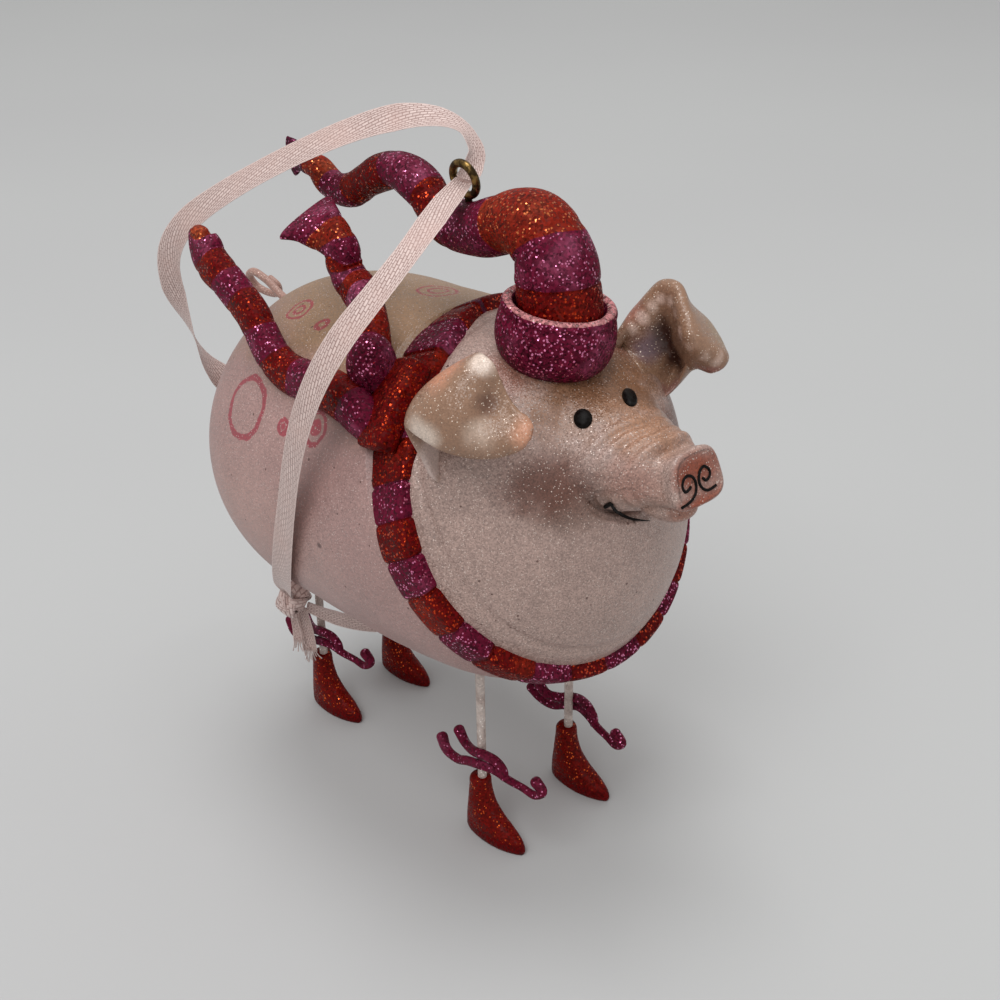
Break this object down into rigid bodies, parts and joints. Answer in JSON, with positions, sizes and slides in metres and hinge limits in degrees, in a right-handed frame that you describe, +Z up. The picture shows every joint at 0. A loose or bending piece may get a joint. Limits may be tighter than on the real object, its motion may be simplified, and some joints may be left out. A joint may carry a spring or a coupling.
{
  "type": "hanging pig figurine",
  "caption": "Plump standing pig ornament in a wavy striped stocking cap, scarf with flying tails, boots with bows, and a ribbon loop through a brass eye.",
  "frame": {"origin": "On the standing plane, midway between the tip of the nose and the far end of the curled tail, and midway between the two flanks; the ribbon is left out.", "axes": "+X from the tail to the nose, +Y to the pig's left side, +Z up."},
  "size_m": [0.1407, 0.0795, 0.1478],
  "materials": {
    "pearl_skin": "pearl pink paint with fine glitter over cast resin",
    "scarf_glitter": "red and magenta bands of coarse glitter over cast resin",
    "magenta_glitter": "magenta glitter",
    "boot_glitter": "red glitter over cast resin",
    "coated_wire": "pale pink paint",
    "aged_brass": "dark aged brass",
    "peg_steel": "bare wire",
    "satin_ribbon": "pale pink satin weave"
  },
  "bodies": {
    "root": {"boot_front_left": "boot_glitter", "boot_front_right": "boot_glitter", "boot_rear_left": "boot_glitter", "boot_rear_right": "boot_glitter", "bow_front_left": "magenta_glitter", "bow_front_right": "magenta_glitter", "bow_rear_left": "magenta_glitter", "bow_rear_right": "magenta_glitter", "curly_tail": "pearl_skin", "ear_left": "pearl_skin", "ear_pegs": "peg_steel", "ear_right": "pearl_skin", "hat_cuff": "magenta_glitter", "hat_peak": "scarf_glitter", "hat_peg": "peg_steel", "head": "pearl_skin", "knot_peg": "peg_steel", "leg_wire_front_left": "coated_wire", "leg_wire_front_right": "coated_wire", "leg_wire_rear_left": "coated_wire", "leg_wire_rear_right": "coated_wire", "ribbon_end_long": "satin_ribbon", "ribbon_end_short": "satin_ribbon", "ribbon_far_run": "satin_ribbon", "ribbon_knot": "satin_ribbon", "ribbon_near_run": "satin_ribbon", "scarf_collar": "scarf_glitter", "scarf_knot": "scarf_glitter", "scarf_tail_lower": "scarf_glitter", "scarf_tail_pegs": "peg_steel", "scarf_tail_upper": "scarf_glitter", "screw_eye": "aged_brass", "torso": "pearl_skin"}
  },
  "joints": []
}
